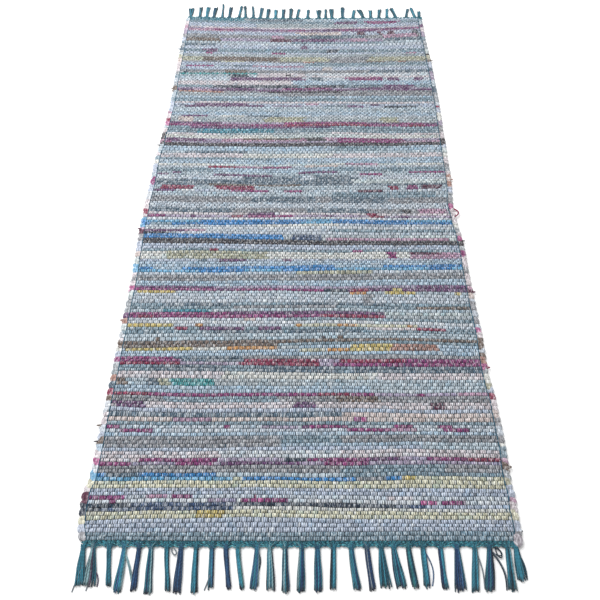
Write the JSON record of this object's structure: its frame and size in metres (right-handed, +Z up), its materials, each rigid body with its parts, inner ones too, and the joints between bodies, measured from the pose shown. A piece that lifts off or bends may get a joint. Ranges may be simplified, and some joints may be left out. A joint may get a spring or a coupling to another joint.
{
  "type": "rag rug",
  "caption": "Flat hand-woven rag rug: striped rag weft on a cotton warp, with a knotted tassel fringe along each short end.",
  "frame": {"origin": "on the floor plane, in the middle of the rug's underside", "axes": "+Y along the rug's length, from the near fringe to the far fringe; +X across its width; +Z up from the floor"},
  "size_m": [0.7164, 1.6515, 0.008],
  "materials": {
    "rag_weft": "matt cotton rags in pale blue, lavender, grey, cream, magenta and bright blue stripes",
    "cotton_warp": "matt petrol-blue cotton warp yarn",
    "fringe_cotton": "knotted petrol, teal and navy cotton yarn",
    "grey_rag": "matt grey-mauve cotton jersey, folded"
  },
  "bodies": {
    "root": {"rug_body": "rag_weft", "fringe_near": "fringe_cotton", "fringe_far": "fringe_cotton", "rag_end": "grey_rag"}
  },
  "joints": []
}
